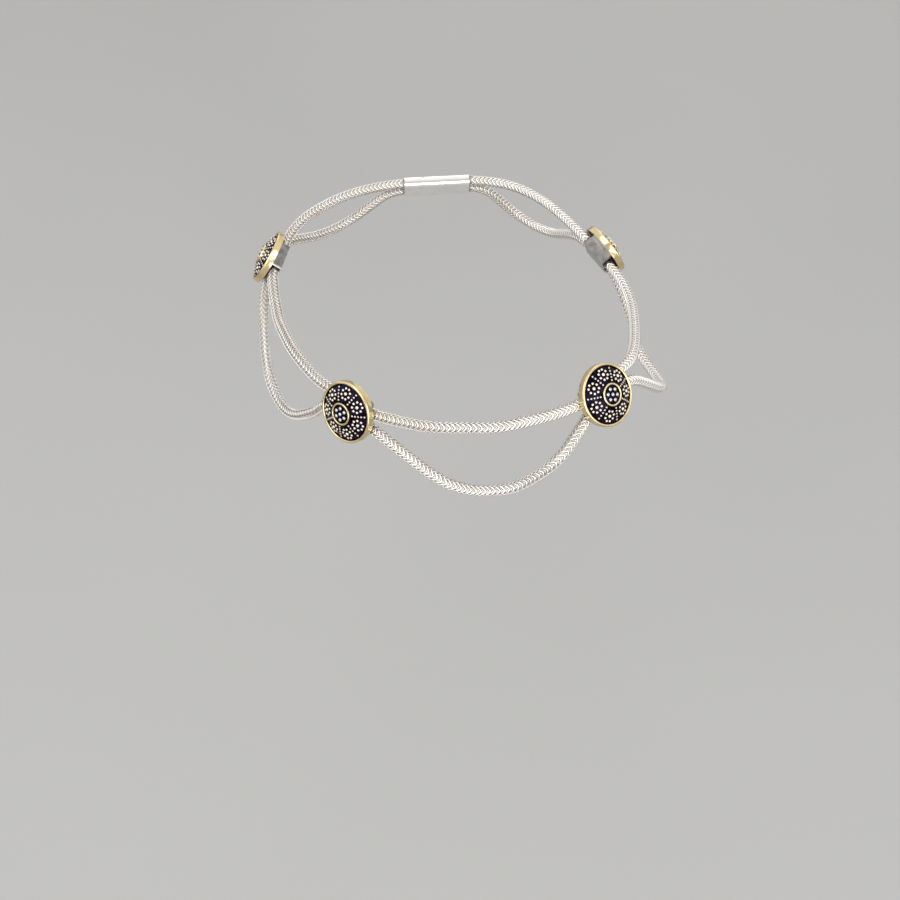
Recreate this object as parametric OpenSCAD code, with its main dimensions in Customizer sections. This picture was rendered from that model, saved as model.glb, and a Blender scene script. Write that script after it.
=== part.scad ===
// Anklet of woven chain with four round granulated medallions.
// Each stretch between two medallions has an upper chain drawn taut and a lower one that hangs
// in a festoon. The anklet keeps the form that it has when it is worn.
// Origin: centre of the ankle at the height of the medallions. +Z is up, and -Y is the front.

/* [Medallion] */
// Diameter of a medallion over its gold rim
medallion_d = 12.7; // [12:0.1:14]
// Height of the gold wall
wall_h = 1.5; // [1.2:0.1:2]
// Thickness of the gold wall
wall_t = 0.4; // [0.3:0.05:0.6]
// Diameter of the round bead along the rim
bead_d = 0.6; // [0.4:0.02:0.8]
// Rise of the dark dome above the rim
dome_rise = 1.1; // [0.6:0.1:1.6]
// Outer diameter of the gold ring at the centre
centre_ring_d = 4.65; // [4:0.05:5]
// Width of the gold ring at the centre
centre_ring_w = 0.42; // [0.3:0.02:0.6]

/* [Granules] */
// Number of rosettes round the centre ring
rosettes = 7; // [5:1:7]
// Number of petals in a rosette
petals = 8; // [6:1:8]
// Distance from the medallion's axis to a rosette's centre
rosette_reach = 4.2; // [4.1:0.05:4.3]
// Distance from a rosette's centre to its petals
petal_reach = 1; // [0.9:0.01:1.1]
// Diameter of a petal granule
petal_d = 0.64; // [0.5:0.02:0.7]
// Diameter of the granule in a rosette's middle
heart_d = 0.8; // [0.6:0.02:0.9]
// Number of granules in a row between two rosettes
row_count = 5; // [3:1:5]
// Diameter of a granule in a row
row_d = 0.54; // [0.4:0.02:0.6]
// Distance between the granules inside the centre ring
cluster_pitch = 1.16; // [1:0.01:1.2]
// Diameter of a granule inside the centre ring
cluster_d = 0.84; // [0.6:0.02:0.9]

/* [Chain] */
// Diameter of a woven chain
chain_d = 2.4; // [2:0.1:2.6]
// Distance between the upper and the lower chain where they meet a medallion
chain_gap = 2.9; // [2.7:0.1:3.2]
// Number of sides of a chain's section
chain_sides = 8; // [6:1:12]

/* [Clasp] */
// Length of the clasp along the ankle
clasp_l = 16; // [12:1:20]
// Thickness of the clasp
clasp_t = 3; // [2.6:0.1:3.6]
// Depth of the seam where the two halves of the clasp meet
seam_depth = 0.25; // [0.1:0.05:0.4]
// Width of the seam
seam_w = 0.4; // [0.2:0.1:1]

/* [Hidden] */

$fn = 48;
// Gap between two pieces that meet
play = 0.1;
// How far solid metal runs on into its neighbour where the two are soldered
overlap = 0.2;

// Heights along a medallion's own axis, from the level of the chains' centre lines
back_z = chain_d / 2 + play;
rim_z = back_z + wall_h;
bead_z = rim_z - bead_d / 2;
dome_foot_z = bead_z - play;
dome_top_z = rim_z + dome_rise;

// Radii round a medallion's own axis
rim_r = medallion_d / 2;
wall_step = 0.03;
wall_r = rim_r - wall_step;
plate_r = wall_r - wall_t - play / 2;
face_r = rim_r - bead_d - play / 2;

// The dome is a cap of a ball that meets the plate at face_r
dome_h = dome_top_z - dome_foot_z;
dome_r = (face_r * face_r + dome_h * dome_h) / (2 * dome_h);
dome_centre_z = dome_top_z - dome_r;

// How far a granule's middle stands off the dome, as a share of its diameter
granule_lift = 0.1;
// Bare dome between the first granule of a row and the centre ring, and past the last one
row_inner_margin = 0.22;
row_outer_margin = 0.2;

// The centre ring stands in a groove of the dome
centre_ring_r = centre_ring_d / 2 - centre_ring_w / 2;
groove_depth = 0.3;
ring_foot_h = 0.5;
ring_play = 0.05;

// Block under the face that the chains' ends meet: along the ankle, up the ankle, and over its
// round corners
block_l = 7.2;
block_w = 6;
block_d = 9;

// Share of the clasp's length on one side of its seam
clasp_long_half = 0.7;

// How strongly a chain is held straight where it leaves a medallion, as a share of its first span
end_pull = 0.6;
// Where a chain ends, to each side of a medallion's axis and of the clasp's middle
medallion_end = block_l / 2 + play;
clasp_end = clasp_l / 2 + play;

// Places round the ankle: angle round the ankle, height, reach from the ankle's axis,
// bearing that the place faces, lean, roll, and turn of its granules
ANGLE = 0;
HEIGHT = 1;
REACH = 2;
BEARING = 3;
LEAN = 4;
ROLL = 5;
TURN = 6;
medallions = [
    [163, 0.5, 42.5, 175, 35, -11, 0],
    [240.5, -0.5, 39, 229.5, 23.5, 1, 43.5],
    [312.5, 2, 44, 312, 40, 8, 25],
    [384, 0, 38.5, 387, 29, 17, 0]
];
clasp_place = [95, 4, 38.5, 95, 25, 0, 0];

// Points along each upper chain between its ends: angle, height, reach
upper_routes = [
    [[121.5, 4.7, 41.1], [134, 4, 42.6], [146.5, 3.3, 43.1]],
    [[185.5, -1.3, 38.8], [198.5, -0.7, 37.6], [211.5, 0.4, 37.5], [224.5, 0.3, 37.7]],
    [[261, 2.7, 41.5], [272.5, 3.6, 42.6], [286, 3.9, 43.7]],
    [[330.5, 2.7, 43.3], [353.5, -0.4, 40.9], [367.5, -0.8, 40.3]],
    [[407.5, 3.1, 38.7], [419.5, 3.8, 40.2], [430.5, 4.7, 40.2]]
];

// Points along each lower chain between its ends: angle, height, reach
lower_routes = [
    [
        [113.5, 1.7, 40.8], [124, -2.4, 42], [132, -4, 42.9],
        [140.5, -3.4, 43.4], [151.5, -0.3, 44.2]
    ],
    [
        [177.5, -4.4, 42.9], [184, -10.7, 43.1], [189.5, -17.4, 43.1], [199, -20.1, 41.6],
        [208.5, -18, 40.1], [220.5, -10.7, 38.8], [229.5, -3.6, 38.8]
    ],
    [
        [264.5, -7.9, 44.3], [272.5, -10.4, 46.1], [280.5, -11.5, 46.7],
        [287.5, -10.1, 47.6], [296.5, -4.1, 48.5]
    ],
    [
        [325.5, -0.3, 45.8], [336.5, -8.6, 49.7], [345, -12.9, 48.7],
        [356, -13.2, 44.3], [365, -9.6, 43], [374, -4.1, 41]
    ],
    [
        [398, -0.5, 38.8], [410.5, -5.6, 41.4], [419, -6.8, 42.8],
        [427, -4.7, 42.7], [436.5, 1.3, 41]
    ]
];

// Number of rings along each chain
upper_rings = [6, 8, 7, 7, 6];
lower_rings = [8, 12, 9, 12, 8];

stretches = len(medallions) + 1;

function polar(reach, angle, height) = [reach * cos(angle), reach * sin(angle), height];

// Directions of a place: outwards, along the ankle, and up the ankle
function outwards(p) = [cos(p[BEARING]) * cos(p[LEAN]), sin(p[BEARING]) * cos(p[LEAN]), sin(p[LEAN])];
function level_along(p) = [-sin(p[BEARING]), cos(p[BEARING]), 0];
function level_up(p) = cross(outwards(p), level_along(p));
function along(p) = cos(p[ROLL]) * level_along(p) + sin(p[ROLL]) * level_up(p);
function up(p) = cross(outwards(p), along(p));
function centre(p) = polar(p[REACH], p[ANGLE], p[HEIGHT]);

// Where a chain ends: side is 1 towards the next place and -1 towards the last one,
// level is 1 for the upper chain and -1 for the lower one
function chain_end(p, reach, side, level) =
    centre(p) + side * reach * along(p) + level * chain_gap / 2 * up(p);

function stretch_start(i, level) =
    i == 0
    ? chain_end(clasp_place, clasp_end, 1, level)
    : chain_end(medallions[i - 1], medallion_end, 1, level);

function stretch_end(i, level) =
    i == stretches - 1
    ? chain_end(clasp_place, clasp_end, -1, level)
    : chain_end(medallions[i], medallion_end, -1, level);

// Directions in which a chain leaves the places at the ends of a stretch
function start_heading(i) = i == 0 ? along(clasp_place) : along(medallions[i - 1]);
function end_heading(i) = i == stretches - 1 ? along(clasp_place) : along(medallions[i]);

function knots(i, level) = [
    stretch_start(i, level),
    for (p = (level > 0 ? upper_routes : lower_routes)[i]) polar(p[REACH], p[ANGLE], p[HEIGHT]),
    stretch_end(i, level)
];

// The knots of a chain with a guide point past each end, so that the chain leaves straight
function route(i, level) =
    let (
        points = knots(i, level),
        last = len(points) - 1,
        first_span = norm(points[1] - points[0]),
        last_span = norm(points[last] - points[last - 1])
    )
    concat(
        [points[1] - 2 * end_pull * first_span * start_heading(i)],
        points,
        [points[last - 1] + 2 * end_pull * last_span * end_heading(i)]
    );

// Smooth curve through a route's knots, at u from 0 to the number of spans
function smooth(points, u) =
    let (
        k = min(floor(u), len(points) - 4),
        t = u - k,
        a = points[k],
        b = points[k + 1],
        c = points[k + 2],
        d = points[k + 3]
    )
    (2 * b + (c - a) * t + (2 * a - 5 * b + 4 * c - d) * t * t + (3 * b - a - 3 * c + d) * t * t * t) / 2;

function unit(v) = v / norm(v);

// Direction of the curve at u
function heading(points, u) =
    let (step = 0.01, spans = len(points) - 3)
    unit(smooth(points, min(u + step, spans)) - smooth(points, max(u - step, 0)));

// A tube along a route, with the given number of rings and of sides
module tube(points, rings, d, sides) {
    spans = len(points) - 3;
    ring_points = [
        for (k = [0 : rings - 1])
            let (
                u = spans * k / (rings - 1),
                ahead = heading(points, u),
                side = unit(cross(ahead, [0, 0, 1])),
                top = cross(side, ahead)
            )
            for (s = [0 : sides - 1])
                smooth(points, u) + d / 2 * (cos(360 * s / sides) * side + sin(360 * s / sides) * top)
    ];
    last = (rings - 1) * sides;
    walls = [
        for (k = [0 : rings - 2], s = [0 : sides - 1])
            let (a = k * sides + s, b = k * sides + (s + 1) % sides)
            each [[a, b + sides, a + sides], [a, b, b + sides]]
    ];
    start_cap = [for (s = [sides - 1 : -1 : 0]) s];
    end_cap = [for (s = [0 : sides - 1]) last + s];
    polyhedron(points = ring_points, faces = concat(walls, [start_cap, end_cap]), convexity = 6);
}

module chain(i, level) {
    rings = level > 0 ? upper_rings[i] : lower_rings[i];
    color("gainsboro") tube(route(i, level), rings, chain_d, chain_sides);
}

// Puts a shape drawn with +Z outwards and +X along the ankle in its place
module at_place(p) {
    translate(centre(p))
        rotate([0, 0, p[BEARING]])
            rotate([0, -p[LEAN], 0])
                rotate([90, 0, 90])
                    rotate([0, 0, p[ROLL]])
                        children();
}

// Height of the dome at a distance from its axis
function dome_z(r) = dome_centre_z + sqrt(dome_r * dome_r - r * r);

module granule(r, angle, d) {
    rotate([0, 0, angle])
        translate([r, 0, dome_z(r) + d * granule_lift])
            sphere(d = d);
}

// One granule of a rosette, placed by its offset from the medallion's axis
module petal(turn, x, y, d) {
    granule(norm([x, y]), turn + atan2(y, x), d);
}

module rosette(turn) {
    granule(rosette_reach, turn, heart_d);
    for (k = [0 : petals - 1])
        petal(
            turn,
            rosette_reach + petal_reach * cos(360 * (k + 0.5) / petals),
            petal_reach * sin(360 * (k + 0.5) / petals),
            petal_d
        );
}

module granule_row(turn) {
    first = centre_ring_d / 2 + row_d / 2 + row_inner_margin;
    last = face_r - row_d / 2 - row_outer_margin;
    for (k = [0 : row_count - 1])
        granule(first + (last - first) * k / (row_count - 1), turn, row_d);
}

module cluster() {
    granule(0, 0, cluster_d);
    for (k = [0 : 5])
        granule(cluster_pitch, 60 * k, cluster_d);
}

// Gold wall with a round bead along its rim
module bezel_shape() {
    rotate_extrude() {
        translate([wall_r - wall_t, back_z])
            square([wall_t, bead_z - back_z]);
        translate([rim_r - bead_d / 2, bead_z])
            circle(d = bead_d);
    }
}

module plate() {
    translate([0, 0, back_z])
        cylinder(r = plate_r, h = bead_z - bead_d / 2 - play - back_z);
}

module dome() {
    intersection() {
        translate([0, 0, dome_centre_z])
            sphere(r = dome_r);
        translate([0, 0, back_z + overlap])
            cylinder(r = face_r, h = dome_top_z - back_z);
    }
}

// Flat block with round corners
module block() {
    intersection() {
        translate([0, 0, -chain_d / 2])
            cylinder(d = block_d, h = chain_d + play + overlap);
        cube([block_l, block_w, 4 * chain_d], center = true);
    }
}

module ring_groove() {
    rotate_extrude()
        translate([centre_ring_r - centre_ring_w / 2 - ring_play, dome_z(centre_ring_r) - groove_depth])
            square([centre_ring_w + 2 * ring_play, dome_rise]);
}

// Blackened silver: the plate, its dome, the granules and the block behind
module face_shape(turn) {
    difference() {
        union() {
            plate();
            dome();
            block();
        }
        ring_groove();
    }
    rotate([0, 0, turn]) {
        for (k = [0 : rosettes - 1]) {
            rosette(360 * k / rosettes);
            granule_row(360 * (k + 0.5) / rosettes);
        }
        cluster();
    }
}

// Gold ring with a round top
module centre_ring_shape() {
    foot_z = dome_z(centre_ring_r) - groove_depth + ring_play;
    rotate_extrude() {
        translate([centre_ring_r - centre_ring_w / 2, foot_z])
            square([centre_ring_w, ring_foot_h]);
        translate([centre_ring_r, foot_z + ring_foot_h])
            circle(d = centre_ring_w);
    }
}

module bezel(i) {
    color("khaki") at_place(medallions[i]) bezel_shape();
}

module face(i) {
    color("darkslategray") at_place(medallions[i]) face_shape(medallions[i][TURN]);
}

module centre_ring(i) {
    color("khaki") at_place(medallions[i]) centre_ring_shape();
}

// A flat bar with round edges, from one distance along the clasp to another
module clasp_bar(from, to, t) {
    translate([0, 0, from])
        linear_extrude(to - from) {
            square([t, chain_gap], center = true);
            for (side = [-1, 1])
                translate([0, side * chain_gap / 2])
                    circle(d = t);
        }
}

module clasp() {
    start = -clasp_l / 2;
    seam = start + clasp_l * clasp_long_half;
    color("gainsboro")
        at_place(clasp_place)
            rotate([0, 90, 0]) {
                clasp_bar(start, seam, clasp_t);
                clasp_bar(seam, seam + seam_w, clasp_t - 2 * seam_depth);
                clasp_bar(seam + seam_w, clasp_l / 2, clasp_t);
            }
}

for (i = [0 : len(medallions) - 1]) {
    bezel(i);
    face(i);
    centre_ring(i);
}
for (i = [0 : stretches - 1]) {
    chain(i, 1);
    chain(i, -1);
}
clasp();
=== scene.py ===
"""Looks of an anklet of woven chain with granulated medallions, built round its CAD part.

Lengths are in metres, in the part's own frame: the origin is the middle of the ankle at the
height of the medallions, +Z is up and -Y is the front. The places and routes repeat those of
the part's source.
"""

import logging
import math
from collections.abc import Callable
from dataclasses import dataclass
from enum import Enum

import bpy
from mathutils import Matrix, Vector


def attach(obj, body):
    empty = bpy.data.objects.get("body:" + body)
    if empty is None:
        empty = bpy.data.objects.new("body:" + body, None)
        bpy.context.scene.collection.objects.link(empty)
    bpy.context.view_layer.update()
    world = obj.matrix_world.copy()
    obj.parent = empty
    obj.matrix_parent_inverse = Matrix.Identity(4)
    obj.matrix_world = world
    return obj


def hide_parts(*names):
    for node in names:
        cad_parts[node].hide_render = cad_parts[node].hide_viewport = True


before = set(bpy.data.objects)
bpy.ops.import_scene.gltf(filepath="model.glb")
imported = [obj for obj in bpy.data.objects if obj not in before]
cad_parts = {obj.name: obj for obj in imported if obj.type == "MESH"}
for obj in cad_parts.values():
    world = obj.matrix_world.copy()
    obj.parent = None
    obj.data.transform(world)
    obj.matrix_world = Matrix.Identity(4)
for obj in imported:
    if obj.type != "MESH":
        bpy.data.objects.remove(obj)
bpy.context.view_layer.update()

Colour = tuple[float, float, float]
# Positions along a ramp, each with its colour
Stops = tuple[tuple[float, Colour], ...]
Socket = bpy.types.NodeSocket

log = logging.getLogger("anklet")

BODY = "root"
# Vertices closer than this are one
WELD = 0.000002
# Name of the attribute that says how far out a point of the weave lies; the silver's painted shade
# and highlight follow it
DEPTH = "weave_depth"
# Colour of blackened silver where nothing rubs it
BLACK: Colour = (0.006, 0.004, 0.007)

# Distance between the upper and the lower chain where they meet a medallion or the clasp
CHAIN_GAP = 0.0029
# Where a chain ends, to each side of a medallion's axis and of the clasp's middle
MEDALLION_END = 0.0037
CLASP_END = 0.0081
# How strongly a chain is held straight at an end, as a share of its span there
END_PULL = 0.6
# Number of short steps that a route's length is measured in
MEASURING_STEPS = 600


class Slot(str, Enum):
    """Material slots of the record."""

    GOLD = "gold"
    BLACKENED_SILVER = "blackened_silver"
    WOVEN_SILVER = "woven_silver"
    CLASP_SILVER = "clasp_silver"


class Level(Enum):
    """The two chains of a stretch, by the side of the medallions that they leave from."""

    UPPER = 1
    LOWER = -1


def polar(angle: float, height: float, reach: float) -> Vector:
    """A point round the ankle.

    Args:
        angle: Degrees round the ankle from +X.
        height: Height over the origin.
        reach: Distance from the ankle's axis.

    Returns:
        The point in the part's frame.
    """
    turned = math.radians(angle)
    return Vector((reach * math.cos(turned), reach * math.sin(turned), height))


@dataclass(frozen=True)
class Place:
    """Where a medallion or the clasp sits on the ankle, and how it is turned, in degrees."""

    angle: float
    height: float
    reach: float
    bearing: float
    lean: float
    roll: float = 0.0

    def centre(self) -> Vector:
        """The place's middle, at the level of the chains."""
        return polar(self.angle, self.height, self.reach)

    def outwards(self) -> Vector:
        """Direction in which the place faces.

        Returns:
            A direction of length 1.
        """
        bearing, lean = math.radians(self.bearing), math.radians(self.lean)
        level = math.cos(lean)
        return Vector((math.cos(bearing) * level, math.sin(bearing) * level, math.sin(lean)))

    def along(self) -> Vector:
        """Direction along the ankle towards the next place.

        Returns:
            A direction of length 1.
        """
        bearing, roll = math.radians(self.bearing), math.radians(self.roll)
        level_along = Vector((-math.sin(bearing), math.cos(bearing), 0))
        level_up = self.outwards().cross(level_along)
        return math.cos(roll) * level_along + math.sin(roll) * level_up

    def up(self) -> Vector:
        """Direction up the ankle."""
        return self.outwards().cross(self.along())

    def matrix(self) -> Matrix:
        """Turns a shape drawn with +Z outwards and +X along the ankle into its place."""
        turned = Matrix((self.along(), self.up(), self.outwards())).transposed()
        return Matrix.Translation(self.centre()) @ turned.to_4x4()

    def chain_end(self, reach: float, side: int, level: Level) -> Vector:
        """Where a chain ends at this place.

        Args:
            reach: Distance from the place's middle along the ankle.
            side: 1 towards the next place, -1 towards the last one.
            level: Which chain.

        Returns:
            The middle of the chain's end.
        """
        across = level.value * CHAIN_GAP / 2 * self.up()
        return self.centre() + side * reach * self.along() + across


MEDALLIONS = (
    Place(163, 0.0005, 0.0425, 175, 35, -11),
    Place(240.5, -0.0005, 0.0390, 229.5, 23.5, 1),
    Place(312.5, 0.0020, 0.0440, 312, 40, 8),
    Place(384, 0.0, 0.0385, 387, 29, 17),
)
CLASP_PLACE = Place(95, 0.0040, 0.0385, 95, 25)
STRETCHES = len(MEDALLIONS) + 1

# Points along each chain between its ends: angle, height, reach
ROUTES = {
    Level.UPPER: (
        ((121.5, 0.0047, 0.0411), (134, 0.0040, 0.0426), (146.5, 0.0033, 0.0431)),
        (
            (185.5, -0.0013, 0.0388), (198.5, -0.0007, 0.0376), (211.5, 0.0004, 0.0375),
            (224.5, 0.0003, 0.0377),
        ),
        ((261, 0.0027, 0.0415), (272.5, 0.0036, 0.0426), (286, 0.0039, 0.0437)),
        ((330.5, 0.0027, 0.0433), (353.5, -0.0004, 0.0409), (367.5, -0.0008, 0.0403)),
        ((407.5, 0.0031, 0.0387), (419.5, 0.0038, 0.0402), (430.5, 0.0047, 0.0402)),
    ),
    Level.LOWER: (
        (
            (113.5, 0.0017, 0.0408), (124, -0.0024, 0.0420), (132, -0.0040, 0.0429),
            (140.5, -0.0034, 0.0434), (151.5, -0.0003, 0.0442),
        ),
        (
            (177.5, -0.0044, 0.0429), (184, -0.0107, 0.0431), (189.5, -0.0174, 0.0431),
            (199, -0.0201, 0.0416), (208.5, -0.0180, 0.0401), (220.5, -0.0107, 0.0388),
            (229.5, -0.0036, 0.0388),
        ),
        (
            (264.5, -0.0079, 0.0443), (272.5, -0.0104, 0.0461), (280.5, -0.0115, 0.0467),
            (287.5, -0.0101, 0.0476), (296.5, -0.0041, 0.0485),
        ),
        (
            (325.5, -0.0003, 0.0458), (336.5, -0.0086, 0.0497), (345, -0.0129, 0.0487),
            (356, -0.0132, 0.0443), (365, -0.0096, 0.0430), (374, -0.0041, 0.0410),
        ),
        (
            (398, -0.0005, 0.0388), (410.5, -0.0056, 0.0414), (419, -0.0068, 0.0428),
            (427, -0.0047, 0.0427), (436.5, 0.0013, 0.0410),
        ),
    ),
}


@dataclass(frozen=True)
class Route:
    """The smooth curve that a chain follows, through its knots and a guide point past each end."""

    points: tuple[Vector, ...]

    @classmethod
    def of_stretch(cls, index: int, level: Level) -> "Route":
        """The route of one chain.

        Args:
            index: The stretch, counted from the clasp.
            level: Which chain of the stretch.

        Returns:
            The route, with guide points that make the chain leave its places straight.
        """
        first = index == 0
        last = index == STRETCHES - 1
        start = CLASP_PLACE if first else MEDALLIONS[index - 1]
        end = CLASP_PLACE if last else MEDALLIONS[index]
        knots = [
            start.chain_end(CLASP_END if first else MEDALLION_END, 1, level),
            *(polar(*point) for point in ROUTES[level][index]),
            end.chain_end(CLASP_END if last else MEDALLION_END, -1, level),
        ]
        first_span = (knots[1] - knots[0]).length
        last_span = (knots[-1] - knots[-2]).length
        before = knots[1] - 2 * END_PULL * first_span * start.along()
        after = knots[-2] + 2 * END_PULL * last_span * end.along()
        return cls((before, *knots, after))

    @property
    def spans(self) -> int:
        """Number of spans between the knots."""
        return len(self.points) - 3

    def at(self, u: float) -> Vector:
        """A point of the route.

        Args:
            u: Where it lies, from 0 at the first knot to the number of spans at the last.

        Returns:
            The point.
        """
        k = min(int(u), self.spans - 1)
        t = u - k
        a, b, c, d = self.points[k : k + 4]
        square = (2 * a - 5 * b + 4 * c - d) * t * t
        cube = (3 * b - a - 3 * c + d) * t**3
        return (2 * b + (c - a) * t + square + cube) / 2

    def evenly(self, step: float) -> tuple[list[Vector], float]:
        """Points at even distances along the route.

        Args:
            step: About how far apart the points are.

        Returns:
            The points, and the route's length.
        """
        fine = [self.at(self.spans * i / MEASURING_STEPS) for i in range(MEASURING_STEPS + 1)]
        gone = [0.0]
        for a, b in zip(fine, fine[1:]):
            gone.append(gone[-1] + (b - a).length)
        length = gone[-1]
        count = max(2, round(length / step))
        points, k = [], 0
        for i in range(count + 1):
            goal = length * i / count
            while k < len(gone) - 2 and gone[k + 1] < goal:
                k += 1
            share = (goal - gone[k]) / (gone[k + 1] - gone[k])
            points.append(fine[k].lerp(fine[k + 1], share))
        return points, length


def deselect() -> None:
    """Deselects every object, so that an operator acts on a new one alone."""
    if bpy.context.object and bpy.context.object.mode != "OBJECT":
        bpy.ops.object.mode_set(mode="OBJECT")
    bpy.ops.object.select_all(action="DESELECT")


def pick(piece: bpy.types.Object, *others: bpy.types.Object) -> None:
    """Selects some objects and no more.

    Args:
        piece: The object that becomes the active one.
        others: Objects that are selected with it.
    """
    deselect()
    for each in (piece, *others):
        each.select_set(True)
    bpy.context.view_layer.objects.active = piece


def edit(piece: bpy.types.Object, whole: bool = True) -> None:
    """Opens one object's mesh for editing.

    Args:
        piece: The object.
        whole: Whether its mesh is selected all over, or not at all.
    """
    pick(piece)
    bpy.ops.object.mode_set(mode="EDIT")
    bpy.ops.mesh.select_mode(type="VERT")
    bpy.ops.mesh.select_all(action="SELECT" if whole else "DESELECT")


def close_edit() -> None:
    """Merges doubles, turns the faces outwards and leaves edit mode."""
    bpy.ops.mesh.select_all(action="SELECT")
    bpy.ops.mesh.remove_doubles(threshold=WELD)
    bpy.ops.mesh.normals_make_consistent(inside=False)
    bpy.ops.object.mode_set(mode="OBJECT")


def select_where(piece: bpy.types.Object, test: Callable[[bpy.types.MeshVertex], bool]) -> None:
    """Selects the vertices that pass a test in a mesh that is open for editing.

    Args:
        piece: The mesh's object.
        test: Says of a vertex whether it is selected.
    """
    bpy.ops.object.mode_set(mode="OBJECT")
    for vertex in piece.data.vertices:
        vertex.select = test(vertex)
    bpy.ops.object.mode_set(mode="EDIT")


def turn_selection(angle: float) -> None:
    """Turns what is selected round the X axis.

    Args:
        angle: The angle in radians.
    """
    bpy.ops.transform.rotate(
        value=angle, orient_axis="X", orient_type="GLOBAL", center_override=(0, 0, 0)
    )


def join(piece: bpy.types.Object, other: bpy.types.Object) -> None:
    """Makes a second object's mesh a part of the first one's."""
    pick(piece, other)
    bpy.ops.object.join()


def apply_modifiers(piece: bpy.types.Object) -> None:
    """Applies every modifier of an object, first to last.

    Args:
        piece: The object.
    """
    pick(piece)
    for modifier in list(piece.modifiers):
        bpy.ops.object.modifier_apply(modifier=modifier.name)


def settle(piece: bpy.types.Object) -> None:
    """Puts an object's place and turn into its mesh."""
    pick(piece)
    bpy.ops.object.transform_apply(location=True, rotation=True, scale=True)


def hand_over(piece: bpy.types.Object, node: str, finish: bpy.types.Material) -> None:
    """Makes a piece stand for a CAD node and dresses it.

    Args:
        piece: The finished piece.
        node: The CAD node that it replaces.
        finish: The piece's material.
    """
    piece.data.materials.clear()
    piece.data.materials.append(finish)
    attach(piece, BODY)
    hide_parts(node)


def dress(node: bpy.types.Object, finish: bpy.types.Material) -> None:
    """Gives a CAD node its finish, and leaves its mesh as it is.

    Args:
        node: The node's object.
        finish: The material.
    """
    for slot in node.material_slots:
        slot.link = "OBJECT"
        slot.material = finish


def fill_ramp(node: bpy.types.Node, stops: Stops) -> None:
    """Gives a colour ramp its stops.

    Args:
        node: The ramp's node.
        stops: The stops, from the lowest position to the highest.
    """
    band = node.color_ramp.elements
    # A new stop may stand anywhere, because its place is set afterwards
    while len(band) < len(stops):
        band.new(0.5)
    for element, (position, colour) in zip(band, stops):
        element.position = position
        element.color = (*colour, 1)


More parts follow.
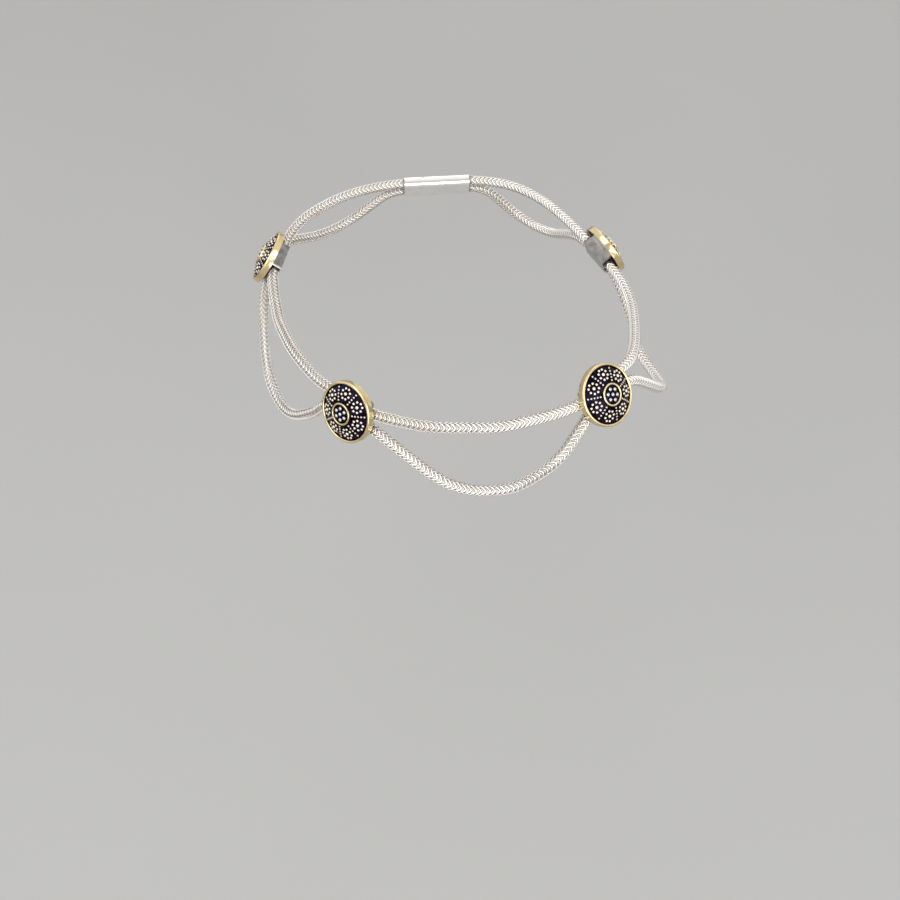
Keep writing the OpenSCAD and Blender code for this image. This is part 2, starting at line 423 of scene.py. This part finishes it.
class Board:
    """The nodes of one material, added and joined by short calls."""

    # A Mix node's sockets when it mixes colours
    MIX_SHARE, MIX_FIRST, MIX_SECOND, MIX_RESULT = 0, 6, 7, 2

    def __init__(self, name: str, metallic: float = 1.0) -> None:
        """Makes an empty material with a shader.

        Args:
            name: The material's name.
            metallic: 1 for a metal, 0 for anything else.
        """
        self.material = bpy.data.materials.new(name)
        self.material.use_nodes = True
        self.tree = self.material.node_tree
        self.shader = self.tree.nodes["Principled BSDF"]
        self.shader.inputs["Metallic"].default_value = metallic
        self.place = self.add("ShaderNodeTexCoord").outputs["Object"]

    def add(self, kind: str, **settings: object) -> bpy.types.Node:
        """Adds a node and sets its properties.

        Args:
            kind: The node's type.
            settings: Its properties by name.

        Returns:
            The node.
        """
        node = self.tree.nodes.new(kind)
        for name, value in settings.items():
            setattr(node, name, value)
        return node

    def join(self, source: Socket, target: Socket) -> None:
        """Links one socket to another."""
        self.tree.links.new(source, target)

    def noise(
        self, size: float, detail: float = 3.0, stretch: tuple[float, float, float] | None = None
    ) -> Socket:
        """Cloudy noise in the piece's own frame.

        Args:
            size: Width of one cloud.
            detail: How many finer layers it has.
            stretch: Scale along each axis, or None for even clouds.

        Returns:
            The noise's value, from 0 to 1.
        """
        source = self.place
        if stretch:
            mapping = self.add("ShaderNodeMapping")
            mapping.inputs["Scale"].default_value = stretch
            self.join(self.place, mapping.inputs["Vector"])
            source = mapping.outputs["Vector"]
        node = self.add("ShaderNodeTexNoise")
        node.inputs["Scale"].default_value = 1 / size
        node.inputs["Detail"].default_value = detail
        self.join(source, node.inputs["Vector"])
        return node.outputs["Fac"]

    def measure(self, operation: str, vector: Vector) -> Socket:
        """A measure of the place on the piece against a fixed vector.

        Args:
            operation: DISTANCE from a point, or DOT_PRODUCT for how far along a direction.
            vector: The point or the direction, in the piece's own frame.

        Returns:
            The measure.
        """
        node = self.add("ShaderNodeVectorMath", operation=operation)
        node.inputs[1].default_value = vector
        self.join(self.place, node.inputs[0])
        return node.outputs["Value"]

    def below(self, source: Socket, limit: float) -> Socket:
        """Tells where a value lies below a limit.

        Args:
            source: The value.
            limit: The limit.

        Returns:
            1 below the limit, and 0 elsewhere.
        """
        node = self.add("ShaderNodeMath", operation="LESS_THAN")
        node.inputs[1].default_value = limit
        self.join(source, node.inputs[0])
        return node.outputs["Value"]

    def ramp(self, source: Socket, stops: Stops) -> Socket:
        """Turns a value into a colour.

        Args:
            source: The value.
            stops: The colours along it.

        Returns:
            The colour.
        """
        node = self.add("ShaderNodeValToRGB")
        fill_ramp(node, stops)
        self.join(source, node.inputs["Fac"])
        return node.outputs["Color"]

    def remap(
        self, source: Socket, old: tuple[float, float] = (0, 1), new: tuple[float, float] = (0, 1)
    ) -> Socket:
        """Moves a value from between two bounds to between two others.

        Args:
            source: The value.
            old: The bounds that it lies between, and is held within.
            new: The bounds that it is moved to.

        Returns:
            The moved value.
        """
        node = self.add("ShaderNodeMapRange")
        node.inputs["From Min"].default_value, node.inputs["From Max"].default_value = old
        node.inputs["To Min"].default_value, node.inputs["To Max"].default_value = new
        self.join(source, node.inputs["Value"])
        return node.outputs["Result"]

    def blend(
        self, share: Socket | float, first: Socket, second: Socket, way: str = "MIX"
    ) -> Socket:
        """Mixes two colours.

        Args:
            share: How much of the second colour.
            first: The first colour.
            second: The second colour.
            way: The blend mode.

        Returns:
            The mixed colour.
        """
        node = self.add("ShaderNodeMix", data_type="RGBA", blend_type=way)
        if isinstance(share, float):
            node.inputs[self.MIX_SHARE].default_value = share
        else:
            self.join(share, node.inputs[self.MIX_SHARE])
        self.join(first, node.inputs[self.MIX_FIRST])
        self.join(second, node.inputs[self.MIX_SECOND])
        return node.outputs[self.MIX_RESULT]

    def paint(self, tone: Socket) -> None:
        """Gives the surface its colour."""
        self.join(tone, self.shader.inputs["Base Color"])

    def bump(self, source: Socket, height: float, strength: float) -> None:
        """Gives the surface small bumps.

        Args:
            source: Where they stand, from 0 at the lowest to 1 at the highest.
            height: Height of the highest.
            strength: How strongly they show.
        """
        node = self.add("ShaderNodeBump")
        node.inputs["Strength"].default_value = strength
        node.inputs["Distance"].default_value = height
        self.join(source, node.inputs["Height"])
        self.join(node.outputs["Normal"], self.shader.inputs["Normal"])


@dataclass(frozen=True)
class Grain:
    """The finest marks in a metal.

    Width and height are those of one mark. The roughness varies between its two bounds with the
    marks, and strength is how strongly they show.
    """

    width: float
    detail: float
    smoothest: float
    roughest: float
    height: float
    strength: float
    stretch: tuple[float, float, float] | None = None

    def work(self, board: Board) -> None:
        """Gives a material its roughness and its fine bumps.

        Args:
            board: The material's nodes.
        """
        marks = board.noise(self.width, self.detail, self.stretch)
        roughness = board.remap(marks, new=(self.smoothest, self.roughest))
        board.join(roughness, board.shader.inputs["Roughness"])
        board.bump(marks, self.height, self.strength)


@dataclass(frozen=True)
class PolishedGold:
    """Pale yellow gold, polished, with faint clouds and fine scratches."""

    cloud: float = 0.0022
    tones: Stops = ((0.35, (0.70, 0.54, 0.28)), (0.65, (0.83, 0.69, 0.41)))
    scratches: Grain = Grain(
        width=0.00012,
        detail=2.0,
        smoothest=0.10,
        roughest=0.24,
        height=0.000006,
        strength=0.25,
        stretch=(1, 1, 0.12),
    )

    def material(self) -> bpy.types.Material:
        """Builds the material.

        Returns:
            The material.
        """
        board = Board("polished_gold")
        board.paint(board.ramp(board.noise(self.cloud), self.tones))
        self.scratches.work(board)
        return board.material


@dataclass(frozen=True)
class BlackenedSilver:
    """Dark silver whose raised granules are rubbed bright, with painted shade and a painted highlight
    on them.

    The height over the dome, a cap of a ball, tells a granule from the plate between. The colour
    by height is partly real: the black oxide on the plate and the rubbed tops of the granules. It is
    partly painted light: painted shade on the granules' lower sides and a painted highlight on
    their tops. The medallion's back, deeper below the apex than the face reaches, is a duller
    grey. Granules within middle_r of the apex are cooler and darker than those round them.
    """

    ball: Vector
    ball_radius: float
    apex: Vector
    granule_rise: float = 0.00036
    middle_r: float = 0.0019
    back_depth: float = 0.00255
    cloud: float = 0.0016
    # Ramps by height over the dome: black oxide on the plate, then painted shade on the granules'
    # lower sides, then rubbed silver with a painted highlight on their tops
    outer: Stops = ((0.15, BLACK), (0.42, (0.26, 0.22, 0.18)), (0.80, (0.86, 0.79, 0.70)))
    middle: Stops = ((0.18, BLACK), (0.52, (0.09, 0.09, 0.11)), (0.92, (0.58, 0.59, 0.63)))
    stain: Stops = ((0.42, BLACK), (0.62, (0.018, 0.012, 0.038)))
    back: Stops = ((0.35, (0.17, 0.165, 0.16)), (0.65, (0.30, 0.29, 0.28)))
    pits: Grain = Grain(
        width=0.00014, detail=4.0, smoothest=0.14, roughest=0.26, height=0.00002, strength=0.35
    )

    def height(self, board: Board) -> Socket:
        """Height over the dome.

        Args:
            board: The material's nodes.

        Returns:
            The height, from 0 on the plate to 1 on the granules' tops.
        """
        distance = board.measure("DISTANCE", self.ball)
        return board.remap(distance, old=(self.ball_radius, self.ball_radius + self.granule_rise))

    def material(self, name: str) -> bpy.types.Material:
        """Builds the material.

        Args:
            name: The material's name.

        Returns:
            The material.
        """
        board = Board(name)
        height = self.height(board)
        clouds = board.noise(self.cloud)
        axis = (self.apex - self.ball).normalized()
        near = board.below(board.measure("DISTANCE", self.apex), self.middle_r)
        behind = board.below(
            board.measure("DOT_PRODUCT", axis), axis.dot(self.apex) - self.back_depth
        )
        # Granules: real rubbing, with painted shade on their lower sides and a painted highlight on
        # their tops
        granules = board.blend(
            near, board.ramp(height, self.outer), board.ramp(height, self.middle)
        )
        face = board.blend(height, board.ramp(clouds, self.stain), granules)
        board.paint(board.blend(behind, face, board.ramp(clouds, self.back)))
        self.pits.work(board)
        return board.material


@dataclass(frozen=True)
class WovenSilver:
    """Bright silver wire, with painted shade that greys it down between the stitches and on the core,
    a painted highlight on the crests of the wires, and faint warm clouds.
    """

    cloud: float = 0.004
    # Painted shade and highlight by how far out the wire lies: grey at the core and down between the
    # stitches, brightest on the outer wires' crests
    gap_shade_and_crest_highlight: Stops = (
        (0.78, (0.50, 0.47, 0.44)),
        (0.89, (0.88, 0.86, 0.83)),
        (0.98, (0.97, 0.96, 0.94)),
    )
    warmth: Stops = ((0.4, (0.97, 0.95, 0.92)), (0.6, (1.0, 1.0, 1.0)))
    drawing: Grain = Grain(
        width=0.00018, detail=3.0, smoothest=0.30, roughest=0.46, height=0.00001, strength=0.3
    )

    def material(self) -> bpy.types.Material:
        """Builds the material.

        Returns:
            The material.
        """
        board = Board("woven_silver")
        depth = board.add("ShaderNodeAttribute", attribute_name=DEPTH).outputs["Fac"]
        # Painted shade in the gaps and a painted highlight on the crests, by depth
        metal = board.ramp(depth, self.gap_shade_and_crest_highlight)
        warm = board.ramp(board.noise(self.cloud), self.warmth)
        board.paint(board.blend(1.0, metal, warm, "MULTIPLY"))
        self.drawing.work(board)
        return board.material


@dataclass(frozen=True)
class ClaspSilver:
    """Polished silver with fine wear."""

    cloud: float = 0.0025
    tones: Stops = ((0.35, (0.87, 0.86, 0.84)), (0.6, (0.93, 0.92, 0.90)))
    wear: Grain = Grain(
        width=0.0001,
        detail=2.0,
        smoothest=0.10,
        roughest=0.28,
        height=0.000005,
        strength=0.25,
        stretch=(0.1, 0.1, 1),
    )

    def material(self) -> bpy.types.Material:
        """Builds the material.

        Returns:
            The material.
        """
        board = Board("clasp_silver")
        board.paint(board.ramp(board.noise(self.cloud), self.tones))
        self.wear.work(board)
        return board.material


@dataclass(frozen=True)
class Stitch:
    """One V of wire on the chain's top, with its tip towards +X.

    Reaches and radii are given at the tip, at the crest of each leg and at the legs' ends. The
    wire's direction at a point is taken over one step to each side of it.
    """

    tip_x: float
    leg: float
    half_width: float
    reach: tuple[float, float, float]
    wire_r: tuple[float, float, float]
    crest: float = 0.78
    tip_round: float = 0.14
    sides: int = 6
    rings: int = 13
    step: float = 0.01

    def hump(self, values: tuple[float, float, float], s: float) -> float:
        """A value that swells from the tip to the crest and falls to the end.

        Args:
            values: The values at the tip, the crest and the end.
            s: From -1 at one end, over 0 at the tip, to 1 at the other end.

        Returns:
            The value at s.
        """
        tip, crest, end = values
        t = min(1, abs(s))
        if t < self.crest:
            return tip + (crest - tip) * math.sin(math.pi / 2 * t / self.crest) ** 2
        return crest + (end - crest) * ((t - self.crest) / (1 - self.crest)) ** 2

    def point(self, s: float) -> Vector:
        """A point on the middle line of the wire.

        Args:
            s: From -1 at one end, over 0 at the tip, to 1 at the other end.

        Returns:
            The point, with X along the chain and Z up from its axis to the tip.
        """
        k = self.tip_round
        back = (math.sqrt(s * s + k * k) - k) / (math.sqrt(1 + k * k) - k)
        reach = self.hump(self.reach, s) - self.hump(self.wire_r, s)
        turned = math.radians(self.half_width * s)
        return Vector(
            (self.tip_x - self.leg * back, reach * math.sin(turned), reach * math.cos(turned))
        )

    def build(self) -> bpy.types.Object:
        """Models the V: rings of wire, bridged and capped.

        Returns:
            The V.
        """
        deselect()
        for i in range(self.rings):
            s = -1 + 2 * i / (self.rings - 1)
            ahead = self.point(s + self.step) - self.point(s - self.step)
            bpy.ops.mesh.primitive_circle_add(
                vertices=self.sides,
                radius=self.hump(self.wire_r, s),
                location=self.point(s),
                rotation=ahead.to_track_quat("Z", "X").to_euler(),
            )
            if i == 0:
                piece = bpy.context.object
                settle(piece)
                edit(piece)
        bpy.ops.mesh.select_all(action="SELECT")
        bpy.ops.mesh.bridge_edge_loops()
        bpy.ops.mesh.select_all(action="SELECT")
        bpy.ops.mesh.fill_holes(sides=self.sides)
        close_edit()
        return piece


@dataclass(frozen=True)
class Weave:
    """One pitch of woven chain along X: four columns of V-shaped stitches round a core."""

    pitch: float = 0.00100
    outer: Stitch = Stitch(
        tip_x=0.0,
        leg=0.00108,
        half_width=53.0,
        reach=(0.00123, 0.00128, 0.00121),
        wire_r=(0.00021, 0.00028, 0.00020),
    )
    inner: Stitch = Stitch(
        tip_x=-0.00046,
        leg=0.00060,
        half_width=30.0,
        reach=(0.00112, 0.00114, 0.00106),
        wire_r=(0.00017, 0.00017, 0.00011),
        sides=5,
        rings=9,
    )
    core_d: float = 0.00196
    core_sides: int = 12

    @property
    def back(self) -> float:
        """How far a stitch reaches back from its tip."""
        return self.outer.leg + self.outer.wire_r[2]

    @property
    def front(self) -> float:
        """How far a stitch reaches in front of its tip."""
        return self.outer.wire_r[0]

    @property
    def crest(self) -> float:
        """How far the highest point of a stitch lies from the chain's axis."""
        return self.outer.reach[1]

    def unit(self) -> bpy.types.Object:
        """Copies the stitches round the chain: neighbours are half a pitch apart.

        Returns:
            The stitches of one pitch.
        """
        piece = self.outer.build()
        join(piece, self.inner.build())
        edit(piece)
        bpy.ops.mesh.duplicate()
        turn_selection(math.pi)
        bpy.ops.mesh.select_all(action="SELECT")
        bpy.ops.mesh.duplicate()
        turn_selection(math.pi / 2)
        bpy.ops.transform.translate(value=(self.pitch / 2, 0, 0))
        close_edit()
        bpy.ops.object.shade_smooth()
        return piece


@dataclass
class WovenChain:
    """One woven chain: stitches repeated along its route, round a core.

    Facing is how far it is turned round its own line, in degrees.
    """

    stretch: int
    level: Level
    facing: float = 42.0
    bends_a_pitch: int = 3
    weave: Weave = Weave()

    @property
    def number(self) -> int:
        """The stretch's number in the nodes' names."""
        return self.stretch + 1

    @property
    def node(self) -> str:
        """The CAD node that the chain replaces."""
        return f"{self.level.name.lower()}_chain_{self.number}"

    def row(self, unit: bpy.types.Object, length: float) -> bpy.types.Object:
        """Repeats the stitches in a straight row along X.

        Args:
            unit: The stitches of one pitch.
            length: The chain's length.

        Returns:
            The row.
        """
        weave = self.weave
        room = length - weave.back - weave.front - weave.pitch / 2
        count = int(room / weave.pitch) + 1
        piece = unit.copy()
        piece.data = unit.data.copy()
        bpy.context.scene.collection.objects.link(piece)
        edit(piece)
        bpy.ops.transform.translate(value=(weave.back, 0, 0))
        bpy.ops.object.mode_set(mode="OBJECT")
        copies = piece.modifiers.new("copies", "ARRAY")
        copies.count = count
        copies.use_relative_offset = False
        copies.use_constant_offset = True
        copies.constant_offset_displace = (room / (count - 1), 0, 0)
        apply_modifiers(piece)
        return piece

    def core(self, length: float) -> bpy.types.Object:
        """Models the core: a many-sided rod along X with one ring at each pitch.

        Args:
            length: The chain's length.

        Returns:
            The core.
        """
        weave = self.weave
        deselect()
        bpy.ops.mesh.primitive_circle_add(
            vertices=weave.core_sides, radius=weave.core_d / 2, rotation=(0, math.pi / 2, 0)
        )
        piece = bpy.context.object
        settle(piece)
        edit(piece)
        steps = round(length / weave.pitch)
        for _ in range(steps):
            bpy.ops.mesh.extrude_region_move(
                TRANSFORM_OT_translate={"value": (length / steps, 0, 0)}
            )
        bpy.ops.mesh.select_all(action="SELECT")
        bpy.ops.mesh.fill_holes(sides=weave.core_sides)
        close_edit()
        bpy.ops.object.shade_smooth()
        return piece

    def note_depth(self, piece: bpy.types.Object) -> None:
        """Writes each point's distance from the chain's axis, as a share of the crest's.

        Args:
            piece: The straight chain.
        """
        depth = piece.data.attributes.new(DEPTH, "FLOAT", "POINT")
        for vertex, entry in zip(piece.data.vertices, depth.data):
            entry.value = math.hypot(vertex.co.y, vertex.co.z) / self.weave.crest

    def path(self, points: list[Vector]) -> bpy.types.Object:
        """Makes the curve that bends the chain.

        Args:
            points: Points along the route.

        Returns:
            The curve's object.
        """
        curve = bpy.data.curves.new("route", "CURVE")
        curve.dimensions = "3D"
        curve.twist_mode = "Z_UP"
        curve.use_path = True
        line = curve.splines.new("POLY")
        line.points.add(len(points) - 1)
        for point, place in zip(line.points, points):
            point.co = (*place, 1)
        made = bpy.data.objects.new("route", curve)
        bpy.context.scene.collection.objects.link(made)
        return made

    def bend(self, piece: bpy.types.Object, points: list[Vector]) -> None:
        """Turns the straight chain round its own line and bends it along its route.

        Args:
            piece: The straight chain.
            points: Points along the route.
        """
        edit(piece)
        turn_selection(math.radians(self.facing))
        bpy.ops.object.mode_set(mode="OBJECT")
        route = self.path(points)
        bend = piece.modifiers.new("bend", "CURVE")
        bend.object = route
        bend.deform_axis = "POS_X"
        apply_modifiers(piece)
        bpy.data.objects.remove(route)

    def build(self, unit: bpy.types.Object) -> bpy.types.Object:
        """Models the chain along its route.

        Args:
            unit: The stitches of one pitch.

        Returns:
            The chain.
        """
        route = Route.of_stretch(self.stretch, self.level)
        points, length = route.evenly(self.weave.pitch / self.bends_a_pitch)
        piece = self.row(unit, length)
        # The core shows between the stitches, and the depth ramp paints it grey as shade
        join(piece, self.core(length))
        self.note_depth(piece)
        self.bend(piece, points)
        piece.name = f"woven_{self.level.name.lower()}_{self.number}"
        log.info("%s: %.1f mm", piece.name, length * 1000)
        return piece


@dataclass
class RoundTopBand:
    """A band spun round a medallion's axis, with a round bead along its top.

    Each reach and wall field is a distance from the axis, to the bead's middle or to a face of
    the wall. Edges that turn by more than sharp_angle, in degrees, stay sharp.
    """

    bead_reach: float
    bead_d: float
    wall_inner: float
    wall_outer: float
    bead_z: float
    foot_z: float
    bead_points: int = 28
    steps: int = 144
    sharp_angle: float = 35.0

    def build(self, place: Place, name: str) -> bpy.types.Object:
        """Models the band's section and spins it.

        Args:
            place: The medallion's place.
            name: The piece's name.

        Returns:
            The band in its place.
        """
        deselect()
        bpy.ops.mesh.primitive_circle_add(
            vertices=self.bead_points,
            radius=self.bead_d / 2,
            location=(self.bead_reach, 0, self.bead_z),
            rotation=(math.pi / 2, 0, 0),
        )
        piece = bpy.context.object
        piece.name = name
        settle(piece)
        self.draw_wall(piece)
        edit(piece)
        bpy.ops.mesh.spin(
            steps=self.steps, angle=2 * math.pi, center=(0, 0, 0), axis=(0, 0, 1), use_auto_merge=True
        )
        close_edit()
        bpy.ops.object.shade_smooth_by_angle(angle=math.radians(self.sharp_angle))
        piece.matrix_world = place.matrix()
        settle(piece)
        return piece

    def cut_end(self, piece: bpy.types.Object, outer: bool) -> int:
        """Finds the lowest point of the opened bead on one side of its middle.

        Args:
            piece: The section.
            outer: Whether it is the side away from the axis.

        Returns:
            The point's index in the mesh.
        """
        side = [v for v in piece.data.vertices if (v.co.x > self.bead_reach) == outer]
        return min(side, key=lambda vertex: vertex.co.z).index

    def draw_wall(self, piece: bpy.types.Object) -> None:
        """Opens the bead's section between the wall's faces and draws the wall down to its foot.

        Args:
            piece: The bead's section.
        """
        edit(piece, whole=False)
        select_where(
            piece,
            lambda vertex: vertex.co.z < self.bead_z - WELD
            and self.wall_inner < vertex.co.x < self.wall_outer,
        )
        bpy.ops.mesh.delete(type="VERT")
        bpy.ops.object.mode_set(mode="OBJECT")
        ends = [self.cut_end(piece, outer) for outer in (False, True)]
        starts = [piece.data.vertices[end].co.copy() for end in ends]
        for end, start, wall in zip(ends, starts, (self.wall_inner, self.wall_outer)):
            select_where(piece, lambda vertex: vertex.index == end)
            shoulder = Vector((wall - start.x, 0, -abs(wall - start.x)))
            bpy.ops.mesh.extrude_vertices_move(TRANSFORM_OT_translate={"value": shoulder})
            down = Vector((0, 0, self.foot_z - start.z - shoulder.z))
            bpy.ops.mesh.extrude_vertices_move(TRANSFORM_OT_translate={"value": down})
        select_where(piece, lambda vertex: abs(vertex.co.z - self.foot_z) < WELD)
        bpy.ops.mesh.edge_face_add()


@dataclass
class Medallion:
    """A medallion's gold bands and its granulated face.

    A field that ends in z is a height along the medallion's own axis, over the level of the
    chains. The dome of the face is a cap of a ball, and the centre ring's foot stands in a groove
    of it.
    """

    number: int
    place: Place
    back_z: float = 0.00130
    wall_h: float = 0.00150
    rim_r: float = 0.00635
    wall_r: float = 0.00632
    wall_t: float = 0.00040
    bead_d: float = 0.00060
    dome_r: float = 0.01158
    dome_centre_z: float = -0.00768
    ring_r: float = 0.002115
    ring_w: float = 0.00042
    ring_wall_inset: float = 0.00001
    ring_foot_z: float = 0.003455
    ring_foot_h: float = 0.00050

    def bezel(self) -> RoundTopBand:
        """The gold wall with its lip.

        Returns:
            The band's sizes.
        """
        return RoundTopBand(
            bead_reach=self.rim_r - self.bead_d / 2,
            bead_d=self.bead_d,
            wall_inner=self.wall_r - self.wall_t,
            wall_outer=self.wall_r,
            bead_z=self.back_z + self.wall_h - self.bead_d / 2,
            foot_z=self.back_z,
        )

    def centre_ring(self) -> RoundTopBand:
        """The small gold ring in the middle.

        Returns:
            The band's sizes.
        """
        return RoundTopBand(
            bead_reach=self.ring_r,
            bead_d=self.ring_w,
            wall_inner=self.ring_r - self.ring_w / 2 + self.ring_wall_inset,
            wall_outer=self.ring_r + self.ring_w / 2 - self.ring_wall_inset,
            bead_z=self.ring_foot_z + self.ring_foot_h,
            foot_z=self.ring_foot_z,
        )

    def build(self, gold: bpy.types.Material) -> None:
        """Models the gold and dresses the face.

        Args:
            gold: Material of the gold.
        """
        bezel = self.bezel().build(self.place, f"gold_bezel_{self.number}")
        hand_over(bezel, f"bezel_{self.number}", gold)
        ring = self.centre_ring().build(self.place, f"gold_ring_{self.number}")
        hand_over(ring, f"centre_ring_{self.number}", gold)
        ball = self.place.centre() + self.dome_centre_z * self.place.outwards()
        apex = ball + self.dome_r * self.place.outwards()
        finish = BlackenedSilver(ball=ball, ball_radius=self.dome_r, apex=apex)
        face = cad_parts[f"face_{self.number}"]
        dress(face, finish.material(f"granulated_silver_{self.number}"))
        log.info("medallion %d: bezel, ring and face", self.number)


@dataclass(frozen=True)
class SoftLight:
    """A soft square light that faces the origin, with its power in watts."""

    name: str
    place: tuple[float, float, float]
    size: float
    power: float

    def hang(self) -> None:
        """Puts the light into the scene."""
        data = bpy.data.lights.new(self.name, "AREA")
        data.size = self.size
        data.energy = self.power
        made = bpy.data.objects.new(self.name, data)
        made.location = self.place
        made.rotation_euler = (-Vector(self.place)).to_track_quat("-Z", "Y").to_euler()
        bpy.context.scene.collection.objects.link(made)


@dataclass
class Studio:
    """Pale floor, soft lights and the camera.

    The room's colours run from the side opposite the camera's place, at 0, to the camera's own
    side, at 1.
    """

    floor_z: float = -0.100
    floor_side: float = 6.0
    floor_cloud: float = 0.4
    floor_tones: Stops = ((0.3, (0.35, 0.35, 0.345)), (0.7, (0.38, 0.38, 0.375)))
    floor_roughness: float = 0.7
    camera_place: tuple[float, float, float] = (0.0, -0.154, 0.128)
    camera_down: float = 49.6
    focal_px: float = 876.5
    picture_px: float = 900.0
    sensor: float = 36.0
    nearest: float = 0.01
    farthest: float = 50.0
    room: Stops = (
        (0.10, (0.80, 0.78, 0.76)),
        (0.40, (0.92, 0.90, 0.88)),
        (0.55, (1.0, 1.0, 1.0)),
        (0.86, (1.0, 1.0, 1.0)),
        (0.97, (0.62, 0.58, 0.53)),
    )
    lights: tuple[SoftLight, ...] = (
        SoftLight("key", (-0.45, -0.35, 0.65), 0.6, 2.4),
        SoftLight("fill", (0.6, -0.5, 0.4), 0.6, 2.0),
        SoftLight("back", (0.1, 0.7, 0.5), 0.5, 0.8),
        SoftLight("front", (0, -1.00, 0.30), 0.6, 3.4),
    )

    def camera(self) -> None:
        """Places the camera at the photograph's viewing angle."""
        data = bpy.data.cameras.new("camera")
        data.sensor_width = self.sensor
        data.lens = self.sensor * self.focal_px / self.picture_px
        data.clip_start = self.nearest
        data.clip_end = self.farthest
        made = bpy.data.objects.new("camera", data)
        made.location = self.camera_place
        made.rotation_euler = (math.radians(90 - self.camera_down), 0, 0)
        bpy.context.scene.collection.objects.link(made)
        bpy.context.scene.camera = made

    def floor(self) -> None:
        """Lays the floor."""
        deselect()
        bpy.ops.mesh.primitive_plane_add(size=self.floor_side, location=(0, 0, self.floor_z))
        made = bpy.context.object
        made.name = "floor"
        settle(made)
        board = Board("pale_floor", metallic=0.0)
        board.paint(board.ramp(board.noise(self.floor_cloud), self.floor_tones))
        board.shader.inputs["Roughness"].default_value = self.floor_roughness
        made.data.materials.append(board.material)

    def world(self) -> None:
        """Lights the room: white round the camera, greyer at its place and on the far side."""
        world = bpy.data.worlds.new("room")
        bpy.context.scene.world = world
        world.use_nodes = True
        nodes, links = world.node_tree.nodes, world.node_tree.links
        where = nodes.new("ShaderNodeTexCoord")
        towards = nodes.new("ShaderNodeVectorMath")
        towards.operation = "DOT_PRODUCT"
        towards.inputs[1].default_value = Vector(self.camera_place).normalized()
        links.new(where.outputs["Generated"], towards.inputs[0])
        share = nodes.new("ShaderNodeMapRange")
        share.inputs["From Min"].default_value = -1
        links.new(towards.outputs["Value"], share.inputs["Value"])
        band = nodes.new("ShaderNodeValToRGB")
        fill_ramp(band, self.room)
        links.new(share.outputs["Result"], band.inputs["Fac"])
        links.new(band.outputs["Color"], nodes["Background"].inputs["Color"])
        nodes["Background"].inputs["Strength"].default_value = 1.0

    def build(self) -> None:
        """Sets up the whole studio."""
        self.camera()
        self.floor()
        self.world()
        for light in self.lights:
            light.hang()
        bpy.context.scene.view_settings.view_transform = "Standard"
        log.info("studio: camera, floor and %d lights", len(self.lights))


def main() -> None:
    """Builds the studio and the pieces."""
    logging.basicConfig(level=logging.INFO, format="%(message)s")
    Studio().build()
    gold = PolishedGold().material()
    for number, place in enumerate(MEDALLIONS, 1):
        Medallion(number, place).build(gold)
    woven = WovenSilver().material()
    unit = Weave().unit()
    for level in Level:
        for stretch in range(STRETCHES):
            chain = WovenChain(stretch, level)
            hand_over(chain.build(unit), chain.node, woven)
    bpy.data.objects.remove(unit)
    dress(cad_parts["clasp"], ClaspSilver().material())
    log.info("clasp: polished")


if __name__ == "__main__":
    main()
